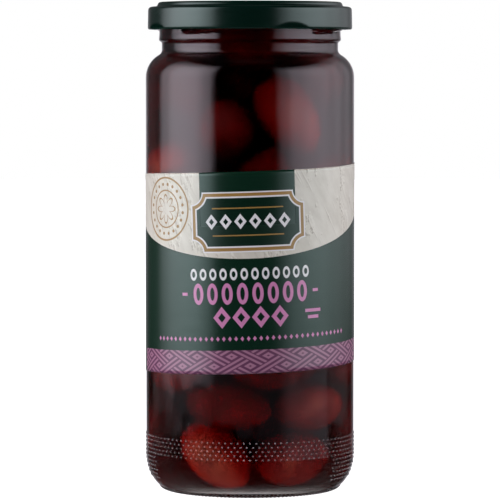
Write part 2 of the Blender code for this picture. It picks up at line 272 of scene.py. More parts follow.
def fading_in(angle, start, span):
    """0 up to the start, then rising to 1 over the span."""
    return ((angle - start) / span).clamped()


left_box = glow_by_angle(bearing, LEFT_BOX) * glow_by_angle(rise, BOX_RISE)
right_box = glow_by_angle(bearing, RIGHT_BOX) * glow_by_angle(rise * RIGHT_RISE, BOX_RISE)
left_sheen = glow_by_angle(bearing, LEFT_SHEEN) * fading_in(rise, LEFT_SHEEN_FOOT, 0.25)
right_sheen = glow_by_angle(bearing, RIGHT_SHEEN) * fading_in(rise, RIGHT_SHEEN_FOOT, 0.6)
edge_sheen = glow_by_angle(abs(bearing), EDGE_SHEEN) * fading_in(rise, EDGE_SHEEN_FOOT, 0.15)
sheen = (left_sheen + right_sheen + edge_sheen) * fading_in(-rise, -SHEEN_TOP, 0.6)
table = fading_in(-rise, -TABLE_FROM, 25.0) * TABLE_GLOW
wall = glow_by_angle(abs(bearing), BACK_WALL) * fading_in(rise, BACK_WALL_FOOT, 10.0)
wall = wall * (1.0 - fading_in(rise, BACK_WALL_TOP, 7.0))
ceiling = fading_in(rise, CEILING_FROM, 10.0) * CEILING_GLOW
glow = (left_box + right_box) * BOX_GLOW + sheen + table + wall + ceiling
seen = sky.node("ShaderNodeLightPath", output="Is Camera Ray")
strength = seen + (1.0 - seen) * glow
tint = sky.mix(seen, BOX_TINT, (1.0, 1.0, 1.0, 1.0))
backdrop = sky.node("ShaderNodeBackground", None, {0: tint, 1: strength})
sky.node("ShaderNodeOutputWorld", None, {0: backdrop})
scene.world = world
print("soft boxes centred at bearings", LEFT_BOX[3][0], "and", RIGHT_BOX[3][0])

# %% Lay the floor
FLOOR_RADIUS = 3.0
FLOOR_SIDES = 96
WHITE_TO_CAMERA = 1.1
WHITE_THROUGH_GLASS = 0.72

floor_angles = [math.tau * step / FLOOR_SIDES for step in range(FLOOR_SIDES)]
floor_ring = [(FLOOR_RADIUS * math.cos(a), FLOOR_RADIUS * math.sin(a), 0.0) for a in floor_angles]
floor_mesh = bpy.data.meshes.new("floor")
floor_mesh.from_pydata(floor_ring, [], [tuple(range(FLOOR_SIDES))])
floor = bpy.data.objects.new("floor", floor_mesh)
scene.collection.objects.link(floor)
floor.visible_glossy = False

floor_paint = bpy.data.materials.new("floor_paint")
floor_paint.use_nodes = True
floor_paint.node_tree.nodes.clear()
paint = Tree(floor_paint.node_tree)
grain = paint.noise(paint.node("ShaderNodeTexCoord", output="Object"), 9.0) * 0.03
pale = grain + 0.45
looked_at = paint.node("ShaderNodeLightPath", output="Is Camera Ray") * WHITE_TO_CAMERA
refracted = paint.node("ShaderNodeLightPath", output="Is Transmission Ray") * WHITE_THROUGH_GLASS
matte = paint.node(
    "ShaderNodeBsdfPrincipled",
    None,
    {
        "Base Color": paint.join(pale, pale, pale),
        "Roughness": 0.9,
        "Emission Color": (1.0, 1.0, 1.0, 1.0),
        "Emission Strength": looked_at + refracted,
    },
)
paint.node("ShaderNodeOutputMaterial", None, {0: matte})
floor_mesh.materials.append(floor_paint)

view = scene.view_settings
view.view_transform = "Standard"
scene.cycles.caustics_reflective = False
scene.cycles.caustics_refractive = True
scene.cycles.max_bounces = 14
scene.cycles.transmission_bounces = 12
scene.cycles.transparent_max_bounces = 16
scene.cycles.diffuse_bounces = 3
print("floor radius m:", FLOOR_RADIUS)

# %% [markdown]
# ## Materials as functions
#
# Every finish starts from the same few lines: a material with an empty web, a Principled shader and
# an output. The helper returns the web, so that each finish below only says what is its own.

# %% Start a finish
def new_finish(name):
    material = bpy.data.materials.new(name)
    material.use_nodes = True
    material.node_tree.nodes.clear()
    return material, Tree(material.node_tree)


def bump(web, height, strength=1.0, distance=1.0):
    """A normal bent by a height in metres, or by a bare number times the distance."""
    inputs = {"Strength": strength, "Distance": distance, "Height": height}
    return web.node("ShaderNodeBump", None, inputs)


def finish_with(web, inputs, volume=None):
    """Ends a web in a Principled shader, and in what soaks up light inside, if anything does."""
    ends = {0: web.node("ShaderNodeBsdfPrincipled", None, inputs)}
    if volume:
        ends[1] = volume
    return web.node("ShaderNodeOutputMaterial", None, ends)


print("finishes are built from", len(bpy.data.materials), "materials so far")

# %% [markdown]
# ## Clear glass
#
# Container glass is smooth but never flat: the mould leaves slow waves in the wall, which bend the
# edges of the reflections, and two thin seams up the sides where the mould's halves met. Both are
# low, the seams a tenth of a millimetre, so they are a bump on a clear Principled shader with the
# refraction of soda-lime glass. Where brine wets the glass the two bend light nearly alike, so the
# wetted face mirrors nothing.

# %% Make the glass
GLASS_IOR = 1.5
FROST = 0.20


def make_glass(name, mirror, frost=0.0):
    """Glass that mirrors by a share, 1 against air and 0 where the brine wets it, and can be frosted."""
    material, web = new_finish(name)
    place = web.node("ShaderNodeTexCoord", output="Object")
    x, y, z = web.split(place)
    waves = web.noise(web.join(x, y, z * 0.35), 70.0, detail=2.0)
    seam = (1.0 - abs(y) / 0.00035).clamped()
    relief = waves * 0.00022 + seam * 0.00010
    inputs = {
        "Base Color": (0.985, 0.995, 0.99, 1.0),
        "Roughness": frost,
        "IOR": GLASS_IOR,
        "Transmission Weight": 1.0 - frost,
        "Specular Tint": (mirror, mirror * 0.90, mirror * 0.94, 1.0),
    }
    if mirror:
        inputs["Normal"] = bump(web, relief)
    finish_with(web, inputs)
    return material


glass = make_glass("clear_glass", 1.0)
wet_glass = make_glass("wet_glass", 0.0)
frosted_glass = make_glass("frosted_glass", 1.0, FROST)
print("glass refraction:", GLASS_IOR)

# %% [markdown]
# ## Turned shapes
#
# The jar, the brine and the lid are all turned: one outline swept round an axis. A geometry tree can
# follow that rule. It lays out a grid with a column for each side and a row for each point of the
# outline, looks the point up by its row, swings it to its column's angle, and merges the seam and
# the poles. The outline comes in as a chain of points, so one tree serves all three pieces.

# %% Build geometry trees in the script
def new_group(name, inputs):
    """An empty geometry group with named inputs, its web, and a wire for each input."""
    group = bpy.data.node_groups.new(name, "GeometryNodeTree")
    group.interface.new_socket("Geometry", in_out="INPUT", socket_type="NodeSocketGeometry")
    for label, kind in inputs.items():
        group.interface.new_socket(label, in_out="INPUT", socket_type="NodeSocket" + kind)
    group.interface.new_socket("Geometry", in_out="OUTPUT", socket_type="NodeSocketGeometry")
    web = Tree(group)
    entry = group.nodes.new("NodeGroupInput")
    return group, web, {socket.name: Wire(web, socket) for socket in entry.outputs if socket.name}


def close_group(web, geometry, material):
    """Ends a tree: instances made real, one finish, smooth faces."""
    real = web.node("GeometryNodeRealizeInstances", None, {0: geometry})
    painted = web.node("GeometryNodeSetMaterial", None, {"Geometry": real, "Material": material})
    smooth = web.node("GeometryNodeSetShadeSmooth", None, {"Geometry": painted})
    web.node("NodeGroupOutput", None, {0: smooth})


def grown(name, group, values, start):
    """Runs a geometry group on a mesh and keeps the result as a plain mesh object."""
    piece = bpy.data.objects.new(name, start)
    scene.collection.objects.link(piece)
    modifier = piece.modifiers.new("grow", "NODES")
    modifier.node_group = group
    for item in group.interface.items_tree:
        if item.in_out == "INPUT" and item.name in values:
            modifier[item.identifier] = values[item.name]
    graph = bpy.context.evaluated_depsgraph_get()
    made = bpy.data.meshes.new_from_object(
        piece.evaluated_get(graph), preserve_all_data_layers=True, depsgraph=graph
    )
    piece.modifiers.clear()
    piece.data = made
    made.name = name
    return piece


print("geometry groups:", len(bpy.data.node_groups))

# %% The turning tree
turning, web, given = new_group("turning", {"Sides": "Int", "Points": "Int", "Material": "Material"})
grid = web.node(
    "GeometryNodeMeshGrid",
    None,
    {"Size X": 1.0, "Size Y": 1.0, "Vertices X": given["Sides"] + 1, "Vertices Y": given["Points"]},
)
across, along, _ = web.split(web.node("GeometryNodeInputPosition"))
row = ((along + 0.5) * (given["Points"] - 1.0)).math("ROUND")
angle = (across + 0.5) * math.tau
looked_up = web.node(
    "GeometryNodeSampleIndex",
    {"data_type": "FLOAT_VECTOR", "domain": "POINT", "clamp": True},
    {"Geometry": given["Geometry"], "Value": web.node("GeometryNodeInputPosition"), "Index": row},
)
radius, _, height = web.split(looked_up)
swung = web.join(radius * angle.math("SINE"), -(radius * angle.math("COSINE")), height)
placed = web.node("GeometryNodeSetPosition", None, {"Geometry": grid, "Position": swung})
merged = web.node("GeometryNodeMergeByDistance", None, {"Geometry": placed, "Distance": 2e-6})
close_group(web, merged, given["Material"])


def chain(points):
    """A mesh of points in metres from an outline of (radius, height) in millimetres."""
    mesh = bpy.data.meshes.new("outline")
    mesh.from_pydata([(radius * MM, 0.0, height * MM) for radius, height in points], [], [])
    return mesh


def volume_of(mesh):
    """The volume inside a mesh, below zero if its faces point inwards."""
    mesh.calc_loop_triangles()
    corners = np.empty(len(mesh.loop_triangles) * 3, np.int32)
    mesh.loop_triangles.foreach_get("vertices", corners)
    points = np.empty(len(mesh.vertices) * 3)
    mesh.vertices.foreach_get("co", points)
    triangles = points.reshape(-1, 3)[corners].reshape(-1, 3, 3)
    return float(np.linalg.det(triangles).sum() / 6.0)


def turned(name, outline, sides, material):
    """A closed piece turned from an outline whose two ends lie on the axis."""
    values = {"Sides": sides, "Points": len(outline), "Material": material}
    piece = grown(name, turning, values, chain(outline))
    if volume_of(piece.data) < 0.0:
        piece.data.flip_normals()
    return piece


print("turning tree has", len(turning.nodes), "nodes")

# %% [markdown]
# ## The jar's outline
#
# A jar is read off its outline: a pushed-up base, a narrow ring that it stands on, a rounded heel,
# straight sides, a shoulder that rolls in quickly, a groove, and the finish that takes the lid.
# Arcs give the large curves, and a chain of corners with a rounding each gives the small ones.

# %% Arcs and rounded corners
_, jar_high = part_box("jar_glass")
BODY = jar_high.x / MM
RIM_TOP = jar_high.z / MM
WALL = 2.2
HEEL_WIDTH = 8.3
HEEL_HEIGHT = 12.8
BEARING = 1.5
PUNT = 2.6
FLOOR_EDGE = 3.2
FLOOR_RISE = 1.8
SHOULDER_START = 142.5
SHOULDER_BEND = 9.0
SHOULDER_SWEEP = 60.0
NECK_FILLET = 2.1
GROOVE_TOP = 154.55
FINISH = 31.3
RIM_ROUND = 1.3
MOUTH = 28.0
BRINE_LEVEL = 161.0
STIPPLE_TOP = 19.4


def arc(centre, across, up, start, end, steps):
    """Points on an arc of an ellipse, with both ends."""
    angles = np.radians(np.linspace(start, end, steps + 1))
    return [(centre[0] + across * math.cos(a), centre[1] + up * math.sin(a)) for a in angles]


def rounded(corners, steps=6):
    """A line through corners of (radius, height, rounding), each corner bent to a smooth curve."""
    line = [corners[0][:2]]
    for before, here, after in zip(corners, corners[1:], corners[2:]):
        corner = Vector(here[:2])
        back = Vector(before[:2]) - corner
        ahead = Vector(after[:2]) - corner
        reach = min(here[2], back.length * 0.5, ahead.length * 0.5)
        first, last = corner + back.normalized() * reach, corner + ahead.normalized() * reach
        for step in range(steps + 1):
            t = step / steps
            point = first * (1 - t) ** 2 + corner * 2 * t * (1 - t) + last * t**2
            line.append((point.x, point.y))
    return line + [corners[-1][:2]]


def refined(line, spacing):
    """The same line with points at most a spacing apart."""
    fine = [line[0]]
    for first, last in zip(line, line[1:]):
        pieces = max(1, math.ceil(math.dist(first, last) / spacing))
        for step in range(1, pieces + 1):
            t = step / pieces
            fine.append((first[0] + (last[0] - first[0]) * t, first[1] + (last[1] - first[1]) * t))
    return fine


def shoulder(radius):
    """From the upright side round the shoulder and back to the upright neck."""
    middle = (radius - SHOULDER_BEND, SHOULDER_START)
    curve = arc(middle, SHOULDER_BEND, SHOULDER_BEND, 0, SHOULDER_SWEEP, 16)
    sweep = math.radians(SHOULDER_SWEEP)
    last_radius, last_height = curve[-1]
    middle = (last_radius + NECK_FILLET * math.cos(sweep), last_height + NECK_FILLET * math.sin(sweep))
    return curve + arc(middle, -NECK_FILLET, -NECK_FILLET, SHOULDER_SWEEP, 0, 6)[1:]


def heel(radius, bottom):
    """From the foot of the heel round to the upright side."""
    return arc((radius - HEEL_WIDTH, bottom + HEEL_HEIGHT), HEEL_WIDTH, HEEL_HEIGHT, -90, 0, 24)


def domed(edge, bottom, rise, power=2):
    """A low dome from the axis out to its edge, which is steeper for a higher power."""
    return [(edge * share, bottom + rise * (1 - share**power)) for share in np.linspace(0, 1, 18)]


foot = BODY - HEEL_WIDTH
outside = rounded([(r, h, 0.7) for r, h in domed(foot - BEARING, 0.0, PUNT, 7)] + [(foot, 0.0, 0.3)], 2)
outside += heel(BODY, 0.0)[1:]
outside += [(BODY, height) for height in np.arange(HEEL_HEIGHT + 0.7, STIPPLE_TOP + 1.0, 0.7)]
outside += shoulder(BODY)
groove = outside[-1][0]
finish_line = [
    (groove, SHOULDER_START + 10.5, 0.0),
    (groove, GROOVE_TOP, 0.4),
    (FINISH + 0.2, GROOVE_TOP + 0.75, 0.5),
    (FINISH, GROOVE_TOP + 2.4, 0.8),
    (FINISH, RIM_TOP - RIM_ROUND, 0.0),
]
outside += refined(rounded(finish_line), 0.3)
outside += arc((FINISH - RIM_ROUND, RIM_TOP - RIM_ROUND), RIM_ROUND, RIM_ROUND, 0, 90, 8)


def jar_inside(grow, floor):
    """From the floor's middle up the inside to the neck, its wall moved outwards by a distance."""
    inner = BODY - WALL
    line = domed(inner - HEEL_WIDTH, floor - grow, FLOOR_RISE)
    line += [(r + grow, h) for r, h in heel(inner, floor)[1:]]
    upper = [(max(r, MOUTH) + grow, h) for r, h in shoulder(inner)]
    return line + upper


def inner_radius(height):
    """Radius of the jar's inside at a height, for an array of heights."""
    inner = BODY - WALL
    rise = np.clip(height - SHOULDER_START, 0.0, SHOULDER_BEND * 0.86)
    at_shoulder = inner - SHOULDER_BEND + np.sqrt(SHOULDER_BEND**2 - rise**2)
    drop = np.clip(FLOOR_EDGE + HEEL_HEIGHT - height, 0.0, HEEL_HEIGHT * 0.99)
    at_heel = inner - HEEL_WIDTH + HEEL_WIDTH * np.sqrt(1.0 - (drop / HEEL_HEIGHT) ** 2)
    return np.minimum(np.maximum(at_shoulder, MOUTH), at_heel)


inside = jar_inside(0.0, FLOOR_EDGE)
mouth = arc((MOUTH + RIM_ROUND, RIM_TOP - RIM_ROUND), RIM_ROUND, RIM_ROUND, 90, 180, 8)
outline = outside + mouth[1:] + inside[::-1]
print("outline has", len(outline), "points, from", outline[0], "to", outline[-1])

# %% Turn the glass
GLASS_SIDES = 192
jar = turned("glass_jar", outline, GLASS_SIDES, glass)
print("glass faces:", len(jar.data.polygons), "volume cm3:", round(volume_of(jar.data) * 1e6, 1))

# %% [markdown]
# ## Threads
#
# A twist-off finish has four short threads, each a ramp. Each starts as a rounded wedge at its low,
# left end, which peeps out under the lid, and climbs to the right out of sight. Another tree could
# instance a bar for each, but a thread grows out of the wall with no crease, so this one pushes the
# wall itself outwards by a rule of angle and height.

# %% Push the threads out of the neck
THREADS = 4
THREAD_PROUD = 1.6
THREAD_HALF = 1.15
THREAD_LOW_END = -46.0
THREAD_SPAN = 78.0
THREAD_LOW = 158.15
THREAD_RISE = 2.9
LEFT_TAPER = 8.0
RIGHT_TAPER = 14.0

threading, web, given = new_group("threading", {"Proud": "Float", "Material": "Material"})
x, y, z = web.split(web.node("GeometryNodeInputPosition"))
radius = (x * x + y * y) ** 0.5
bearing = web.math("ARCTAN2", x, -y) * (180.0 / math.pi)
step = 360.0 / THREADS
along = ((bearing - THREAD_LOW_END) / step + 8.0).math("FRACT") * step
middle = (along * (THREAD_RISE / THREAD_SPAN) + THREAD_LOW) * MM
offside = (z - middle) / (THREAD_HALF * MM)
left_end = (along / LEFT_TAPER + 0.04).clamped()
slimness = left_end**0.5 * 0.75 + 0.25
ridge = (1.0 - (offside / slimness) * (offside / slimness)).clamped()
right_end = ((THREAD_SPAN - along) / RIGHT_TAPER).clamped()
ends = (left_end * right_end) ** 0.5
on_finish = (abs(radius - FINISH * MM)).below(0.25 * MM) * z.above((GROOVE_TOP + 1.0) * MM)
push = given["Proud"] * ridge * ends * on_finish * z.below((RIM_TOP - RIM_ROUND) * MM)
offset = web.join(x / radius * push, y / radius * push, 0.0)
moved = web.node("GeometryNodeSetPosition", None, {"Geometry": given["Geometry"], "Offset": offset})
close_group(web, moved, given["Material"])
jar_mesh = jar.data
bpy.data.objects.remove(jar)
jar = grown("glass_jar", threading, {"Proud": THREAD_PROUD * MM, "Material": glass}, jar_mesh)
print("threads:", THREADS, "volume cm3:", round(volume_of(jar.data) * 1e6, 2))

# %% [markdown]
# ## Stipple on the heel
#
# Rows of small glass domes run round the foot of the jar. They keep scratches off the wall while
# jars rub along on the filling line, and fine bars under them do the same for the bearing edge. The
# lower rows of domes are only at the sides. They repeat by rule, so a tree places them: a point for
# each, its row and column worked out from its index, its height on the curve of the heel, and its
# dome set upright on the surface.

# %% The stipple tree
SIDE_ROWS = (51.0, 117.0)

names = {"Rows": "Int", "Per Row": "Int", "Top": "Float", "Pitch": "Float", "Radius": "Float"}
names |= {"Sunk": "Float", "Stretch": "Float", "Full Rows": "Int", "Material": "Material"}
stipple, web, given = new_group("stipple", names)
points = web.node("GeometryNodePoints", None, {"Count": given["Rows"] * given["Per Row"]})
index = web.node("GeometryNodeInputIndex")
row = (index / given["Per Row"]).math("FLOOR")
column = index - row * given["Per Row"]
turn = (column + row.math("MODULO", 2.0) * 0.5) / given["Per Row"] * math.tau
height = given["Top"] - row * given["Pitch"]
drop = ((HEEL_HEIGHT * MM - height) / (HEEL_HEIGHT * MM)).clamped()
width = (1.0 - drop * drop) ** 0.5
radius = width * (HEEL_WIDTH * MM) + (BODY - HEEL_WIDTH) * MM
sine, cosine = turn.math("SINE"), turn.math("COSINE")
tilt = drop * (HEEL_WIDTH / HEEL_HEIGHT)
sunk = given["Sunk"] / (width * width + tilt * tilt) ** 0.5
on_wall = web.join(radius * sine, -(radius * cosine), height)
normal = web.join(width * sine, -(width * cosine), -tilt)
inwards = web.join(-(sunk * width * sine), sunk * width * cosine, sunk * tilt)
position = web.vector_math("ADD", on_wall, inwards)
around = web.join(cosine, sine, 0.0)
upright = web.node(
    "FunctionNodeAxesToRotation",
    {"primary_axis": "Z", "secondary_axis": "X"},
    {"Primary Axis": normal, "Secondary Axis": around},
)
laid = web.node("GeometryNodeSetPosition", None, {"Geometry": points, "Position": position})
degrees = (turn * (180.0 / math.pi) + 180.0).math("MODULO", 180.0)
off_side = (degrees.below(SIDE_ROWS[0]) + degrees.above(SIDE_ROWS[1])).above(0.5)
bare = row.above(given["Full Rows"] - 0.5) * off_side
kept = web.node("GeometryNodeDeleteGeometry", None, {"Geometry": laid, "Selection": bare})
dome = web.node("GeometryNodeMeshUVSphere", None, {"Segments": 10, "Rings": 8, "Radius": 1.0})
size = web.join(given["Radius"], given["Radius"] * given["Stretch"], given["Radius"])
domes = web.node(
    "GeometryNodeInstanceOnPoints",
    None,
    {"Points": kept, "Instance": dome, "Rotation": upright, "Scale": size},
)
close_group(web, domes, given["Material"])
print("stipple tree has", len(stipple.nodes), "nodes")

# %% Set the domes and bars on the glass
LENGTHS = ("Top", "Pitch", "Radius", "Sunk")
DOTS = {"Rows": 11, "Per Row": 107, "Top": STIPPLE_TOP, "Pitch": 1.42, "Radius": 0.36}
DOTS |= {"Sunk": 0.10, "Stretch": 1.0, "Full Rows": 5}
BARS = {"Rows": 1, "Per Row": 132, "Top": 0.75, "Pitch": 1.0, "Radius": 0.5}
BARS |= {"Sunk": 0.12, "Stretch": 2.6, "Full Rows": 1}


def stippled(name, sizes):
    """The domes of one kind, their lengths given in millimetres."""
    values = {label: size * MM if label in LENGTHS else size for label, size in sizes.items()}
    return grown(name, stipple, values | {"Material": glass}, bpy.data.meshes.new(name))


def fused(piece, others):
    """One closed piece from a piece and the ones that stand on it, which are then removed."""
    group = bpy.data.collections.new("others")
    scene.collection.children.link(group)
    for other in others:
        scene.collection.objects.unlink(other)
        group.objects.link(other)
    join = piece.modifiers.new("join", "BOOLEAN")
    join.operation, join.operand_type, join.collection = "UNION", "COLLECTION", group
    join.solver = "MANIFOLD"
    bpy.context.view_layer.update()
    graph = bpy.context.evaluated_depsgraph_get()
    made = bpy.data.meshes.new_from_object(piece.evaluated_get(graph), depsgraph=graph)
    piece.modifiers.clear()
    piece.data = made
    for other in others:
        bpy.data.objects.remove(other)
    bpy.data.collections.remove(group)
    return piece


def smooth_radius(height):
    """Radius of the jar's smooth outside up to the top of the stipple."""
    drop = np.clip(HEEL_HEIGHT - height, 0.0, HEEL_HEIGHT)
    return BODY - HEEL_WIDTH + HEEL_WIDTH * np.sqrt(1.0 - (drop / HEEL_HEIGHT) ** 2)


INSIDE_BY = 0.3
PROUD_BY = 0.06
LOWEST_DOME = 1.5


def share_out_glass(mesh):
    """Frosts the domes, which rub against other jars, and stops wetted faces from mirroring."""
    mesh.materials.clear()
    for kind in (glass, wet_glass, frosted_glass):
        mesh.materials.append(kind)
    middle = np.empty(len(mesh.polygons) * 3)
    mesh.polygons.foreach_get("center", middle)
    middle = middle.reshape(-1, 3) / MM
    radius, height = np.hypot(middle[:, 0], middle[:, 1]), middle[:, 2]
    inside = (radius < inner_radius(height) + INSIDE_BY) & (height > (FLOOR_EDGE + PUNT) / 2.0)
    wetted = inside & (height < BRINE_LEVEL)
    in_stipple = (height > LOWEST_DOME) & (height < STIPPLE_TOP + 0.6)
    on_dome = in_stipple & (radius > smooth_radius(height) + PROUD_BY)
    mesh.polygons.foreach_set("material_index", np.where(on_dome, 2, wetted.astype(np.int32)))


jar = fused(jar, [stippled("dots", DOTS), stippled("bars", BARS)])
jar.data.shade_smooth()
jar.data.set_sharp_from_angle(angle=math.radians(34.0))
share_out_glass(jar.data)
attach(jar, "root")
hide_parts("jar_glass")
print("glass with stipple has", len(jar.data.polygons), "faces")

# %% [markdown]
# ## Brine
#
# The brine is wine red from the olives' skins. A millimetre of it is pink, a centimetre dark red,
# and across the jar it is black, so its colour can't be painted on: it is light soaked up along the
# way, which is what Volume Absorption does. Its surface reaches a little into the glass wall,
# because a gap there would show as a silver film of air.

# %% Make and pour the brine
BRINE_IOR = 1.34
BRINE_HAZE = 0.28
BRINE_COLOUR = (0.845, 0.03, 0.05, 1.0)
BRINE_DENSITY = 400.0
BRINE_REACH = 0.3
BRINE_SIDES = 160

brine_finish, web = new_finish("brine")
soaking = web.node("ShaderNodeVolumeAbsorption", None, {"Color": BRINE_COLOUR, "Density": BRINE_DENSITY})
finish_with(
    web,
    {
        "Base Color": (1.0, 1.0, 1.0, 1.0),
        "Roughness": BRINE_HAZE,
        "IOR": BRINE_IOR,
        "Transmission Weight": 1.0,
        "Specular Tint": (0.0, 0.0, 0.0, 1.0),
    },
    soaking,
)

brine_line = jar_inside(BRINE_REACH, FLOOR_EDGE)
neck_radius = brine_line[-1][0]
brine_line += [(neck_radius, BRINE_LEVEL + 0.4), (neck_radius - 0.6, BRINE_LEVEL + 0.1)]
brine_line += [(neck_radius - 2.0, BRINE_LEVEL), (0.0, BRINE_LEVEL)]
brine = turned("brine", brine_line, BRINE_SIDES, brine_finish)
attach(brine, "root")
print("brine volume ml:", round(volume_of(brine.data) * 1e6))

# %% [markdown]
# ## Where the olives lie
#
# Olives poured into a jar come to rest against the glass and each other. The ones that show through
# the front stay in the places seen there, as far out as the glass lets them or a little less. The
# rest start in loose rings. Those are pushed apart, each held as three balls along its length, until
# none sinks into another or into the glass. A physics run would do the same more slowly and would
# also move the ones that have to match.

# %% The olives that show
# Turn, height, length, width, slope along the wall, turn inwards, distance off the glass
SHOWN_OLIVES = (
    (-20.0, 125.5, 24.0, 18.6, 66.0, 50.0, 0.0),
    (29.6, 129.6, 28.8, 18.4, -60.0, 4.0, 0.0),
    (-72.0, 111.5, 27.0, 18.2, 12.0, 10.0, 0.0),
    (9.5, 104.8, 28.0, 18.2, 74.0, 0.0, 1.0),
    (-33.0, 97.5, 24.0, 16.6, 76.0, 20.0, 6.0),
    (72.0, 107.5, 28.0, 18.0, 14.0, 0.0, 0.0),
    (-74.0, 138.5, 26.0, 17.2, -40.0, 10.0, 9.0),
    (86.0, 141.0, 26.0, 17.2, 40.0, 10.0, 6.0),
    (8.0, 151.0, 24.0, 17.2, 4.0, 10.0, 5.0),
    (-26.0, 14.7, 25.6, 17.8, -40.0, 0.0, 0.0),
    (32.0, 13.6, 25.4, 16.8, 2.0, 0.0, 0.0),
    (-16.5, 31.0, 28.0, 17.2, -8.0, 10.0, 1.6),
    (47.0, 30.4, 26.6, 16.8, 0.0, 0.0, 0.0),
    (-84.0, 20.0, 27.0, 17.8, 66.0, 0.0, 0.0),
    (91.0, 20.0, 27.0, 17.8, 72.0, 0.0, 0.0),
    (-62.0, 43.0, 27.0, 18.0, 10.0, 10.0, 0.0),
    (80.0, 46.0, 27.0, 18.0, -40.0, 8.0, 0.0),
)
# The tones of the olives that show are partly their own colour and partly painted shade: those lying in
# shade, such as the two low ones at the sides, are set darker.
SHOWN_TONES_AND_SHADE = (0.10, 0.53, 0.85, 0.40, 0.45, 0.60, 0.20, 0.35, 0.0)
SHOWN_TONES_AND_SHADE += (0.84, 0.40, 0.26, 0.50, 0.0, 0.15, 0.40, 0.30)
OLIVE_LENGTH = 29.0
OLIVE_WIDTH = 18.4
print("olives placed by hand:", len(SHOWN_OLIVES))

# %% How an olive lies against the glass
GAP = 0.3
TOUCH = 0.5
FULL_TO = 157.0
END_BALL = 0.86
BALL_ANGLES = np.radians((-70.0, -45.0, -20.0, 0.0, 20.0, 45.0, 70.0))


def along_wall(turn, slope, inward):
    """Direction of an olive's long axis, from its slope along the wall and its turn inwards."""
    turn, slope, inward = (math.radians(angle) for angle in (turn, slope, inward))
    outwards = np.array((math.sin(turn), -math.cos(turn), 0.0))
    sideways = np.array((math.cos(turn), math.sin(turn), 0.0))
    flat = sideways * math.cos(slope) + np.array((0.0, 0.0, math.sin(slope)))
    return flat * math.cos(inward) + outwards * math.sin(inward)


def balls_of(middle, along, half_length, half_width):
    """Three balls along each olive: their places, radii and arms."""
    count = len(middle)
    owner = np.repeat(np.arange(count), 3)
    side = np.tile((-1.0, 0.0, 1.0), count)
    ball = np.where(side == 0.0, half_width[owner], END_BALL * half_width[owner])
    arm = along[owner] * (side * (half_length - END_BALL * half_width)[owner])[:, None]
    return owner, ball, arm, middle[owner] + arm


def wall_push(place, ball):
    """How far the glass, the floor and the fill level push balls of these radii back."""
    radius = np.hypot(place[:, 0], place[:, 1]) + 1e-9
    push = np.zeros_like(place)
    for angle in BALL_ANGLES:
        height = place[:, 2] + ball * math.sin(angle)
        over = np.clip(radius + ball * math.cos(angle) - inner_radius(height), 0.0, None)
        push[:, :2] -= place[:, :2] / radius[:, None] * over[:, None] * math.cos(angle) * 0.4
        push[:, 2] -= over * math.sin(angle) * 0.4
    push[:, 2] += np.clip(FLOOR_EDGE + FLOOR_RISE + ball - place[:, 2], 0.0, None) * 0.6
    push[:, 2] -= np.clip(place[:, 2] + ball - FULL_TO, 0.0, None) * 0.6
    return push


def touching_reach(turn, height, along, half_length, half_width):
    """How far from the axis an olive's middle is when the olive touches the glass."""
    angle = math.radians(turn)
    outwards = np.array((math.sin(angle), -math.cos(angle), 0.0))
    reach = float(inner_radius(np.array(height))) - half_width
    while reach > 0.0:
        middle = outwards * reach + np.array((0.0, 0.0, height))
        sizes = (np.array((half_length,)), np.array((half_width,)))
        _, ball, _, place = balls_of(middle[None], along[None], *sizes)
        radius = np.hypot(place[:, 0], place[:, 1])
        angles = BALL_ANGLES[:, None]
        edge = radius + (ball + TOUCH) * np.cos(angles)
        if (edge <= inner_radius(place[:, 2] + (ball + TOUCH) * np.sin(angles))).all():
            break
        reach -= 0.1
    return reach


first_along = along_wall(-20.0, 66.0, 50.0)
first_reach = touching_reach(-20.0, 125.5, first_along, 12.0, 9.3)
print("the first olive touches the glass at reach mm:", round(first_reach, 1))

# %% Settle the others
LAYERS = 9
LAYER_STEP = 16.6
FIRST_LAYER = 14.0
PER_LAYER = 6
AXIS_LAYERS = 4
AXIS_STEP = 29.0
FIRST_ON_AXIS = 24.0
CLEAR = 1.0
SETTLE_ROUNDS = 500
SEED = 7


def first_places():
    """Olives as rows of middle, direction, half length, half width and freedom to move."""
    rows = []

    def add(turn, reach, height, length, width, slope, inward, free):
        angle = math.radians(turn)
        middle = (reach * math.sin(angle), -reach * math.cos(angle), height)
        rows.append((*middle, *along_wall(turn, slope, inward), length / 2.0, width / 2.0, free))

    for turn, height, length, width, slope, inward, off in SHOWN_OLIVES:
        along = along_wall(turn, slope, inward)
        reach = touching_reach(turn, height, along, length / 2.0, width / 2.0) - off
        add(turn, reach, height, length, width, slope, inward, 0.0)
    shown = np.array(rows)[:, :3]
    draw = np.random.default_rng(SEED)
    for layer in range(LAYERS):
        height = FIRST_LAYER + layer * LAYER_STEP
        for place in range(PER_LAYER):
            turn = (place + 0.5 * (layer % 2)) * 360.0 / PER_LAYER + draw.uniform(-6.0, 6.0)
            length = OLIVE_LENGTH * draw.uniform(0.92, 1.06)
            width = OLIVE_WIDTH * draw.uniform(0.93, 1.05)
            slope = draw.normal(0.0, 30.0)
            inward = draw.uniform(-20.0, 20.0)
            reach = float(inner_radius(np.array(height))) - width / 2.0 - GAP
            angle = math.radians(turn)
            middle = np.array((reach * math.sin(angle), -reach * math.cos(angle), height))
            if np.linalg.norm(shown - middle, axis=1).min() > 0.8 * OLIVE_WIDTH:
                add(turn, reach, height, length, width, slope, inward, 1.0)
    for layer in range(AXIS_LAYERS):
        height = FIRST_ON_AXIS + AXIS_STEP * layer
        add(draw.uniform(0.0, 360.0), 2.0, height, OLIVE_LENGTH, OLIVE_WIDTH, 80.0, 0.0, 1.0)
    return np.array(rows)


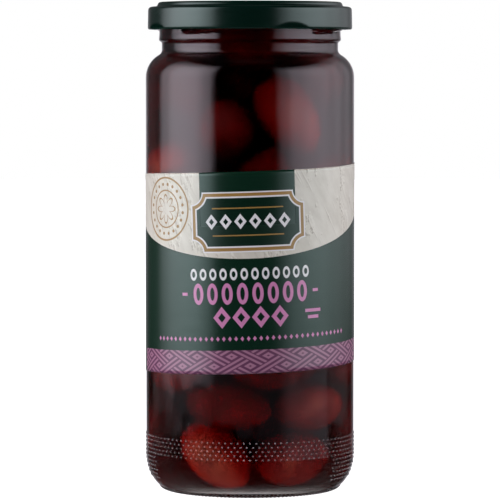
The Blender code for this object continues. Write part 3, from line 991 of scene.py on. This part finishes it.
def settled_olives():
    """The olives pushed apart until none sinks into another or the glass. The shown ones stay."""
    rows = first_places()
    middle, along = rows[:, :3].copy(), rows[:, 3:6].copy()
    half_length, half_width, free = rows[:, 6], rows[:, 7], rows[:, 8]
    count = len(rows)
    for _ in range(SETTLE_ROUNDS):
        owner, ball, arm, place = balls_of(middle, along, half_length, half_width)
        apart = place[:, None] - place[None]
        distance = np.linalg.norm(apart, axis=2) + 1e-9
        sunk = np.clip(ball[:, None] + ball[None] - distance, 0.0, None)
        sunk[owner[:, None] == owner[None]] = 0.0
        push = (apart / distance[..., None] * sunk[..., None]).sum(axis=1) * 0.25
        push = (push + wall_push(place, ball + CLEAR)) * free[owner][:, None]
        middle += push.reshape(count, 3, 3).sum(axis=1) * 0.7
        twist = np.cross(arm, push).reshape(count, 3, 3).sum(axis=1)
        along += np.cross(twist / half_length[:, None] ** 2, along)
        along /= np.linalg.norm(along, axis=1)[:, None]
    return middle, along, half_length, half_width


olive_middle, olive_along, olive_half_length, olive_half_width = settled_olives()
print("olives:", len(olive_middle), "highest at mm:", olive_middle[:, 2].max().round(1))

# %% [markdown]
# ## Olive skin
#
# These olives ripened to a dark wine colour and turned browner in the brine, each to its own degree.
# Every olive carries a tone as an attribute: its own colour, and for the olives that show also painted
# shade, darker where an olive lies in shade. The skin runs from a dark shade through wine red to brown
# by that tone and by cloudy noise, with fine pale specks, and stays moist and smooth.

# %% Make the skin
SKIN_IN_BRINE_IOR = 1.08
DARK_SKIN = (0.10, 0.009, 0.012, 1.0)
WINE_SKIN = (0.28, 0.05, 0.045, 1.0)
BROWN_SKIN = (0.62, 0.23, 0.13, 1.0)
SPECK = (0.50, 0.24, 0.14, 1.0)

skin, web = new_finish("olive_skin")
place = web.node("ShaderNodeTexCoord", output="Object")
tone = web.node("ShaderNodeAttribute", {"attribute_name": "tone"}, output="Fac")
clouds = web.noise(place, 130.0, detail=4.0)
mottle = web.noise(place, 620.0, detail=2.0)
ripeness = web.rescaled(tone * 0.65 + clouds * 0.9 + mottle * 0.2, 0.47, 1.20)
flesh = web.ramp(ripeness, ((0.0, DARK_SKIN), (0.5, WINE_SKIN), (1.0, BROWN_SKIN)))
speck_distance = web.node(
    "ShaderNodeTexVoronoi", {"feature": "F1"}, {"Vector": place, "Scale": 900.0}, output="Distance"
)
specks = (1.0 - speck_distance * 5.0).clamped() * 0.35
flecked = web.mix(specks, flesh, SPECK)
wrinkles = web.noise(place, 900.0, detail=2.0)
finish_with(
    web,
    {
        "Base Color": flecked,
        "Roughness": web.rescaled(mottle, -0.4, 2.0) * 0.4 + 0.30,
        "IOR": SKIN_IN_BRINE_IOR,
        "Normal": bump(web, wrinkles + clouds, 0.5, 0.0001),
    },
)
print("skin nodes:", len(skin.node_tree.nodes))

# %% [markdown]
# ## The olives
#
# One tree makes the form of an olive from a sphere: wider towards its stem, drawn out to a small
# point at its tip, with a dimple where the stem was. It sets one on each place that was worked out
# above, turned and sized by that place's attributes, and then crumples each skin with its own noise.

# %% Grow the olives
names = {"Crumple": "Float", "Fine Crumple": "Float", "Material": "Material"}
olive_tree, web, given = new_group("olives", names)
ball = web.node("GeometryNodeMeshUVSphere", None, {"Segments": 40, "Rings": 26, "Radius": 1.0})
x, y, z = web.split(web.node("GeometryNodeInputPosition"))
girth = 1.0 - z * 0.07 - (z.most(0.0) ** 6.0) * 0.10
point = (z.most(0.0) ** 12.0) * 0.05
off_axis = x * x + y * y
dimple = (1.0 - off_axis * 45.0).clamped() * z.below(0.0) * 0.05
formed = web.node(
    "GeometryNodeSetPosition",
    None,
    {"Geometry": ball, "Position": web.join(x * girth, y * girth, z + point + dimple)},
)


def named(web, name, kind="FLOAT"):
    return web.node("GeometryNodeInputNamedAttribute", {"data_type": kind}, {"Name": name})


half_width = named(web, "half_width")
turned_along = web.node(
    "FunctionNodeAlignRotationToVector", {"axis": "Z"}, {"Vector": named(web, "along", "FLOAT_VECTOR")}
)
set_out = web.node(
    "GeometryNodeInstanceOnPoints",
    None,
    {
        "Points": given["Geometry"],
        "Instance": formed,
        "Rotation": turned_along,
        "Scale": web.join(half_width, half_width, named(web, "half_length")),
    },
)
real = web.node("GeometryNodeRealizeInstances", None, {0: set_out})
spot = web.node("GeometryNodeInputPosition")
outwards = web.node("GeometryNodeInputNormal")
dent = (web.noise(spot, 95.0, detail=2.0) - 0.5) * given["Crumple"]
fine = (web.noise(spot, 520.0, detail=2.0) - 0.5) * given["Fine Crumple"]
offset = web.node("ShaderNodeVectorMath", {"operation": "SCALE"}, {0: outwards, "Scale": dent + fine})
crumpled = web.node("GeometryNodeSetPosition", None, {"Geometry": real, "Offset": offset})
close_group(web, crumpled, given["Material"])

places = bpy.data.meshes.new("places")
places.from_pydata([tuple(middle * MM) for middle in olive_middle], [], [])
# Random low tones for the rest; the shown olives' tones, partly painted shade, go first.
tones_and_shade = np.random.default_rng(SEED + 1).uniform(0.0, 0.6, len(olive_middle))
tones_and_shade[: len(SHOWN_TONES_AND_SHADE)] = SHOWN_TONES_AND_SHADE
for name, kind, values in (
    ("along", "FLOAT_VECTOR", olive_along),
    ("half_length", "FLOAT", olive_half_length * MM),
    ("half_width", "FLOAT", olive_half_width * MM),
    ("tone", "FLOAT", tones_and_shade),
):
    layer = places.attributes.new(name, kind, "POINT")
    layer.data.foreach_set("vector" if kind == "FLOAT_VECTOR" else "value", np.ravel(values))

olives = grown(
    "olives", olive_tree, {"Crumple": 1.1 * MM, "Fine Crumple": 0.12 * MM, "Material": skin}, places
)
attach(olives, "root")
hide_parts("olives")
print("olive faces:", len(olives.data.polygons))

# %% [markdown]
# ## Lid enamel
#
# The lid is tinplate under a dark green enamel. The enamel is smooth enough to mirror the soft boxes
# with a slightly blurred edge and has a faint orange peel. Its rolled hem is painted a paler green,
# a painted highlight for the light that the curl of the hem catches.
# Its mirroring is greenish, as are the boxes that it shows.

# %% Make the enamel
lid_low, lid_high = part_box("lid")
LID = lid_high.x / MM
LID_TOP = lid_high.z / MM
LID_FOOT = lid_low.z / MM

enamel, web = new_finish("lid_enamel")
place = web.node("ShaderNodeTexCoord", output="Object")
x, y, z = web.split(place)
peel = web.noise(place, 1400.0, detail=2.0)
smears = web.noise(web.join(x, y, z * 4.0), 60.0, detail=4.0)
# Painted highlight: the bottom 0.7 mm of the skirt, the rolled hem, is mixed towards a paler green for
# the light its curl catches.
hem_highlight = (1.0 - (z - LID_FOOT * MM) / (0.7 * MM)).clamped()
coat_tone = web.mix(smears, (0.0008, 0.0115, 0.0070, 1.0), (0.0014, 0.0150, 0.0095, 1.0))
# The enamel's own greens with the painted hem highlight laid on them.
coat_with_hem_highlight = web.mix(hem_highlight * 0.35, coat_tone, (0.030, 0.095, 0.070, 1.0))
finish_with(
    web,
    {
        "Base Color": coat_with_hem_highlight,
        "Roughness": web.rescaled(smears, 0.2, 0.8) * 0.05 + 0.20,
        "IOR": 1.58,
        "Specular Tint": (0.79, 1.0, 0.94, 1.0),
        "Normal": bump(web, peel, 0.25, 0.00003),
    },
)
print("lid mm across:", round(2 * LID, 1), "foot and top:", round(LID_FOOT, 1), round(LID_TOP, 1))

# %% [markdown]
# ## The lid
#
# The lid is one turned sheet: a skirt with a rolled hem, a shoulder, a raised channel over the rim
# of the glass and a sunk panel with a button in it. Where each lug is pressed in from the hem, the
# foot of the skirt is bent to a flat, which shows as a darker lens on its side.

# %% Turn the lid
SHEET = 0.6
LID_SHOULDER = 166.9
CHANNEL_OUTER = 32.0
CHANNEL_INNER = 27.2
PANEL_DROP = 1.5
BUTTON = 9.5
BUTTON_RISE = 0.5
HEM_WIDTH = 1.7
HEM_HEIGHT = 1.5
LID_SIDES = 288

panel = LID_TOP - PANEL_DROP
skin_line = rounded(
    [
        (LID, LID_FOOT + HEM_HEIGHT, 0.0),
        (LID - 0.12, LID_SHOULDER - 0.15, 1.3),
        (CHANNEL_OUTER + 0.15, LID_SHOULDER + 0.12, 0.35),
        (CHANNEL_OUTER - 0.45, LID_TOP, 0.8),
        (CHANNEL_INNER + 0.1, LID_TOP, 0.8),
        (CHANNEL_INNER - 0.3, panel, 0.7),
        (BUTTON + 1.0, panel, 0.5),
        (BUTTON - 1.0, panel + BUTTON_RISE * 0.8, 1.2),
        (0.0, panel + BUTTON_RISE, 0.0),
    ],
    8,
)


def moved_in(line, distance):
    """The line moved to its left by a distance, for the far face of a sheet."""
    points = np.array(line)
    along = np.gradient(points, axis=0)
    along /= np.linalg.norm(along, axis=1)[:, None] + 1e-12
    moved = points + np.stack([-along[:, 1], along[:, 0]], axis=1) * distance
    moved[:, 0] = np.maximum(moved[:, 0], 0.0)
    return [tuple(point) for point in moved]


lining = moved_in(skin_line, SHEET)[::-1]
lining[0] = (0.0, lining[0][1])
inner_hem = LID - HEM_WIDTH
hem_line = rounded(
    [
        (lining[-1][0], LID_FOOT + HEM_HEIGHT + 0.1, 0.0),
        (inner_hem, LID_FOOT + HEM_HEIGHT, 0.45),
        (inner_hem, LID_FOOT, 0.7),
        (LID, LID_FOOT, 0.75),
        (LID, LID_FOOT + HEM_HEIGHT, 0.0),
    ],
    8,
)
lid = turned("lid", refined(lining + hem_line[:-1] + skin_line, 0.7), LID_SIDES, enamel)
print("lid faces:", len(lid.data.polygons), "volume cm3:", round(volume_of(lid.data) * 1e6, 2))

# %% Press the lugs
LUG_PITCH = 90.0
LUG_TURN = 24.0
LUG_HALF = 11.6
LUG_FLAT_HEIGHT = 2.0
LUG_REACH = 32.2
LUG_HEIGHT = 0.6

mesh = lid.data
points = np.empty(len(mesh.vertices) * 3)
mesh.vertices.foreach_get("co", points)
points = points.reshape(-1, 3) / MM
radius = np.hypot(points[:, 0], points[:, 1])
turn = np.degrees(np.arctan2(points[:, 0], -points[:, 1]))
from_lug = (turn - LUG_TURN + LUG_PITCH / 2.0) % LUG_PITCH - LUG_PITCH / 2.0
above_foot = points[:, 2] - LID_FOOT

deepest = LID * (1.0 - math.cos(math.radians(LUG_HALF)))
plane = LID - deepest * (1.0 - above_foot / LUG_FLAT_HEIGHT)
flat = np.minimum(radius, plane / np.cos(np.radians(from_lug)))
on_side = (above_foot < LUG_FLAT_HEIGHT) & (radius > inner_hem + 0.8)
on_side &= np.abs(from_lug) < LUG_HALF + 1.0
grown_radius = np.where(on_side, flat, radius)

lug = np.clip((LUG_HALF - 2.0 - np.abs(from_lug)) / 2.0, 0.0, 1.0)
on_lug = (above_foot < HEM_HEIGHT + 0.2) & (radius <= inner_hem + 0.3) & (radius > inner_hem - 0.5)
grown_radius = np.where(on_lug, radius - (inner_hem - LUG_REACH) * lug, grown_radius)
lowered = above_foot * (LUG_HEIGHT / HEM_HEIGHT)
points[:, 2] = np.where(on_lug, LID_FOOT + above_foot * (1 - lug) + lowered * lug, points[:, 2])
safe = np.maximum(radius, 1e-9)
points[:, 0] *= np.where(radius > 1e-6, grown_radius / safe, 1.0)
points[:, 1] *= np.where(radius > 1e-6, grown_radius / safe, 1.0)
mesh.vertices.foreach_set("co", (points * MM).ravel())
mesh.update()
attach(lid, "root")
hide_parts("lid")
print("lug flats cut mm deep:", round(deepest, 2))

# %% [markdown]
# ## The label's paper
#
# The label is one printed strip, stuck on a little askew. Its tree starts from a flat grid the size
# of the strip, keeps each point's place on the paper as an attribute for the print, and wraps it
# round the jar. A Solidify modifier then gives it the thickness of coated paper.

# %% Wrap the paper
LABEL_HEIGHT = 68.1
LABEL_BOTTOM = 43.1
LABEL_LENGTH = 207.0
LABEL_SLOPE = math.atan(0.0335)
PAPER = 0.14
PAPER_LIFT = 0.03

names = dict.fromkeys(("Length", "Height", "Slope", "Radius"), "Float") | {"Material": "Material"}
wrapping, web, given = new_group("wrapping", names)
sheet = web.node(
    "GeometryNodeMeshGrid",
    None,
    {"Size X": given["Length"], "Size Y": given["Height"], "Vertices X": 461, "Vertices Y": 61},
)
across, up, _ = web.split(web.node("GeometryNodeInputPosition"))
raised = up + given["Height"] * 0.5
printed = web.node(
    "GeometryNodeStoreNamedAttribute",
    {"data_type": "FLOAT_VECTOR", "domain": "POINT"},
    {"Geometry": sheet, "Name": "print_mm", "Value": web.join(across / MM, raised / MM, 0.0)},
)
lean_cos, lean_sin = given["Slope"].math("COSINE"), given["Slope"].math("SINE")
round_jar = across * lean_cos - raised * lean_sin
height = across * lean_sin + raised * lean_cos + LABEL_BOTTOM * MM
ripple = web.noise(web.join(round_jar, 0.0, height), 55.0, detail=2.0) * (PAPER_LIFT * MM)
radius = given["Radius"] + ripple
angle = round_jar / given["Radius"]
wrapped = web.join(radius * angle.math("SINE"), -(radius * angle.math("COSINE")), height)
laid = web.node("GeometryNodeSetPosition", None, {"Geometry": printed, "Position": wrapped})
close_group(web, laid, given["Material"])
print("paper strip mm:", LABEL_LENGTH, "x", LABEL_HEIGHT)

# %% [markdown]
# ## The label's print
#
# The print is fields of colour: a deep green ground, a plaster-like cream field cut off below by a
# wide arc, a green panel down its middle, and a purple band of basket weave at the foot. On them
# lies plain ornament: a framed tablet, a rosette, and rows of ovals, lozenges and bars. Each shape
# is a distance in millimetres on the paper, below zero inside, so edges stay sharp at any size.

# %% Shapes as distances
paper, web = new_finish("label_print")
spot = web.node("ShaderNodeAttribute", {"attribute_name": "print_mm"}, output="Vector")
u, v, _ = web.split(spot)
EDGE = 0.09


def filled(distance):
    """1 inside a shape and 0 outside, from its distance."""
    return (0.5 - distance / EDGE).clamped()


def box_at(u, v, middle, half):
    return (abs(u - middle[0]) - half[0]).most(abs(v - middle[1]) - half[1])


def oval_at(u, v, middle, half):
    across, up = (u - middle[0]) / half[0], (v - middle[1]) / half[1]
    return ((across * across + up * up) ** 0.5 - 1.0) * min(half)


def lozenge_at(u, v, middle, half):
    return (abs(u - middle[0]) / half[0] + abs(v - middle[1]) / half[1] - 1.0) * min(half) * 0.7


def outline_of(distance, width):
    return abs(distance) - width / 2.0


def repeated(value, pitch):
    """Distance from the middle of the nearest of many places, a pitch apart."""
    return ((value / pitch).math("FRACT") + 1.0).math("FRACT") * pitch - pitch / 2.0


print("print nodes so far:", len(paper.node_tree.nodes))

# %% Fields of colour
GROUND = shade(10, 40, 26)
GROUND_SOFT = shade(14, 50, 34)
CREAM = shade(243, 240, 226)
CREAM_SHADE = shade(186, 178, 158)
PINK = shade(226, 146, 196)
WHITE = shade(250, 250, 250)
GOLD = shade(172, 134, 72)
BAND_DARK = shade(112, 68, 98)
BAND_LIGHT = shade(180, 128, 154)
FRONT_HALF = 57.5
FRONT_MIDDLE = 1.0
ARC_FOOT = 38.8
ARC_RADIUS = 128.0
PANEL_HALF = 16.6
PANEL_FOOT = 50.0
BAND_HEIGHT = 8.0
BAND_START = -50.2

fibre = web.noise(spot, 1.8, detail=4.0)
colour = web.mix(fibre, GROUND, GROUND_SOFT)
front = filled(abs(u - FRONT_MIDDLE) - FRONT_HALF)
middle_u = u - FRONT_MIDDLE
square_u = (middle_u * middle_u).least(ARC_RADIUS**2 * 0.9)
arc_drop = ARC_FOOT + ARC_RADIUS - (ARC_RADIUS**2 - square_u) ** 0.5
above_arc = filled(arc_drop - v)
off_panel = 1.0 - filled(abs(middle_u) - PANEL_HALF) * filled(PANEL_FOOT - v)
plaster_mask = above_arc * off_panel * front

clumps = web.noise(spot, 0.085, detail=5.0, roughness=0.6)
streaks = web.noise(web.join(u + v * 0.55, v * 0.35 - u * 0.2, 3.0), 0.32, detail=5.0)


def torn(shift):
    """Height of the torn top coat: one level or the other, with ragged steps between."""
    place = web.join(u * 1.35 + shift * 1.35, v * 0.6 + shift * 0.9, 5.0)
    return web.rescaled(web.noise(place, 0.11, detail=6.0, roughness=0.68), 0.535, 0.575)


def scratched(shift):
    """Height of the trowel's long scratches."""
    place = web.join(u * 0.9 + v * 0.5 + shift * 1.4, (v - u * 0.5) * 0.09, 2.0)
    return web.rescaled(web.noise(place, 0.5, detail=2.0), 0.60, 0.66)


rough_patch = web.rescaled(web.noise(spot, 0.05, detail=1.0), 0.28, 0.52)
flaking = (web.rescaled(u, -34.0, 25.0) * 0.6 + 0.4) * rough_patch
emboss = (torn(0.36) - torn(0.0)) * flaking * 1.15 + (scratched(0.3) - scratched(0.0)) * 0.24
clouded = web.rescaled(streaks, 0.35, 0.75) * 0.28 + (clumps - 0.5) * 0.5 + 0.13
plaster = web.mix((clouded + emboss).clamped(), CREAM, CREAM_SHADE)
colour = web.mix(plaster_mask, colour, plaster)
print("cream field starts mm above the foot:", ARC_FOOT)

# %% The tablet and the rosette
TABLET = (FRONT_MIDDLE, 51.2)
TABLET_HALF = (20.0, 10.2)
NOTCH = 4.2
ROSETTE = (-31.0, 56.0)
ROSETTE_HALF = 10.6
BEAD_RING = 8.4


def notched_at(grow):
    """A tablet with its corners bitten out by quarter circles."""
    plain = box_at(u, v, TABLET, (TABLET_HALF[0] + grow, TABLET_HALF[1] + grow))
    corner_u = abs(u - TABLET[0]) - TABLET_HALF[0]
    corner_v = abs(v - TABLET[1]) - TABLET_HALF[1]
    bite = NOTCH - grow - (corner_u * corner_u + corner_v * corner_v) ** 0.5
    return plain.most(bite)


def inked(distance, ink, where=1.0):
    """The print so far with one more shape in a colour, where it is wanted."""
    return web.mix(filled(distance) * where, colour, ink)


for grow, ink in ((0.0, WHITE), (-0.45, GOLD), (-1.55, WHITE), (-2.1, GROUND)):
    colour = inked(notched_at(grow), ink)
tablet_u = u - TABLET[0]
row_u = repeated(tablet_u, 5.0)
in_row = filled(abs(tablet_u) - 15.0)
colour = inked(lozenge_at(row_u, v, (0.0, 51.4), (2.1, 2.6)), WHITE, in_row)
colour = inked(lozenge_at(row_u, v, (0.0, 51.4), (0.9, 1.1)), GROUND, in_row)
rules = abs(abs(v - 51.3) - 4.6) - 0.22
colour = inked(rules.most(abs(tablet_u) - 12.2), GOLD)

rose_u, rose_v = u - ROSETTE[0], v - ROSETTE[1]
rose_distance = (rose_u * rose_u + rose_v * rose_v) ** 0.5
rose_angle = web.math("ARCTAN2", rose_v, rose_u)
rings = outline_of(rose_distance - ROSETTE_HALF, 0.6).least(outline_of(rose_distance - 6.3, 0.45))
petals = abs(rose_distance - (abs((rose_angle * 4.0).math("COSINE")) * 2.6 + 2.2)) - 0.3
beads_around = repeated(rose_angle, math.tau / 20.0) * BEAD_RING
beads_across = rose_distance - BEAD_RING
beads = (beads_across * beads_across + beads_around * beads_around) ** 0.5 - 0.55
colour = inked(rings.least(petals).least(beads), GOLD)
print("tablet mm:", 2 * TABLET_HALF[0], "x", 2 * TABLET_HALF[1])

# %% The rows of ornament
def row_of(u, v, middle, half, pitch, shape, size):
    """One row of a repeated shape, within a box."""
    inside = abs(u - middle[0]) - half
    return shape(repeated(u - middle[0], pitch), v, (0.0, middle[1]), size).most(inside)


WHITE_ROW = (FRONT_MIDDLE, 33.7)
PINK_ROW = (FRONT_MIDDLE, 27.1)
SECOND_ROW = (FRONT_MIDDLE, 19.1)
FINE_LINE = 11.9

white_row = outline_of(row_of(u, v, WHITE_ROW, 21.6, 3.6, oval_at, (1.25, 2.0)) + 0.3, 0.62)
colour = inked(white_row.most(abs(middle_u) - 21.6), WHITE)
pink_row = row_of(u, v, PINK_ROW, 20.8, 5.2, oval_at, (1.9, 3.6))
pink_core = row_of(u, v, PINK_ROW, 20.8, 5.2, oval_at, (0.75, 2.2))
dashes = box_at(abs(middle_u), v, (23.6, PINK_ROW[1]), (1.1, 0.5))
colour = inked(pink_row.most(-pink_core).least(dashes), PINK)
second_row = row_of(u, v, SECOND_ROW, 13.2, 6.6, lozenge_at, (3.0, 3.7))
second_core = row_of(u, v, SECOND_ROW, 13.2, 6.6, lozenge_at, (1.3, 1.6))
colour = inked(second_row.most(-second_core), PINK)
small_bars = box_at(u, v, (23.4, 20.3), (3.2, 0.55)).least(box_at(u, v, (23.4, 18.1), (2.2, 0.55)))
colour = inked(small_bars, PINK)
fine_line = lozenge_at(repeated(middle_u, 2.1), v, (0.0, FINE_LINE), (0.62, 0.85))
colour = inked(fine_line.most(abs(middle_u) - 37.8), PINK)
print("rows of ornament between mm", FINE_LINE, "and", WHITE_ROW[1])

# %% The basket weave band
WEAVE = 12.4
WEAVE_FLATTEN = 1.87
FIRST_KNOT = (0.2, 2.64)
STRAND_OFF = 0.127
STRAND_HALF = 0.062
KNOT_HALF = 0.172
KNOT_HOLE = 0.048

knot_u, knot_v = u - FIRST_KNOT[0], (v - FIRST_KNOT[1]) * WEAVE_FLATTEN
slant_up = (knot_u + knot_v) / WEAVE + 40.0
slant_down = (knot_u - knot_v) / WEAVE + 40.0
above = ((slant_up.math("FLOOR") + slant_down.math("FLOOR")) * 0.5).math("FRACT") * 2.0
off_up = abs(slant_up.math("FRACT") - 0.5)
off_down = abs(slant_down.math("FRACT") - 0.5)


def within(distance, half):
    """1 nearer than a half width and 0 further off, both as shares of the weave."""
    return (0.5 - (distance - half) * 40.0).clamped()


def pair_of_strands(across, lengthwise, over):
    """Two strands side by side, hidden where they dive under the pair that crosses them."""
    pair = within(abs(across - STRAND_OFF), STRAND_HALF)
    return pair * (over + (1.0 - within(lengthwise, 0.25))).clamped()


knot = 0.5 - off_up.least(off_down)
knots = within(knot, KNOT_HALF) * (1.0 - within(knot, KNOT_HOLE))
weave = pair_of_strands(off_up, off_down, above).most(pair_of_strands(off_down, off_up, 1.0 - above))
weave = weave.most(knots)
band_colour = web.mix(weave, BAND_DARK, BAND_LIGHT)
band_start = filled(BAND_START - u)
colour = web.mix(filled(v - BAND_HEIGHT) * front * band_start, colour, band_colour)
creases = web.noise(web.join(u * 0.4, v, 9.0), 0.25, detail=3.0)
print("band mm high:", BAND_HEIGHT)

# %% Finish the print and stick the label on
paper_relief = fibre * 0.00001 + plaster_mask * clumps * 0.00010 + creases * 0.00002
finish_with(
    web,
    {
        "Base Color": colour,
        "Roughness": plaster_mask * 0.10 + fibre * 0.06 + 0.20,
        "IOR": 1.64,
        "Specular Tint": (0.76, 1.0, 0.94, 1.0),
        "Normal": bump(web, paper_relief, 0.6),
    },
)
label = grown(
    "label",
    wrapping,
    {
        "Length": LABEL_LENGTH * MM,
        "Height": LABEL_HEIGHT * MM,
        "Slope": LABEL_SLOPE,
        "Radius": (BODY + 0.03) * MM,
        "Material": paper,
    },
    bpy.data.meshes.new("label"),
)
thick = label.modifiers.new("thick", "SOLIDIFY")
thick.thickness = PAPER * MM
thick.offset = 1.0
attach(label, "root")
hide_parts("label")
print("label faces:", len(label.data.polygons))
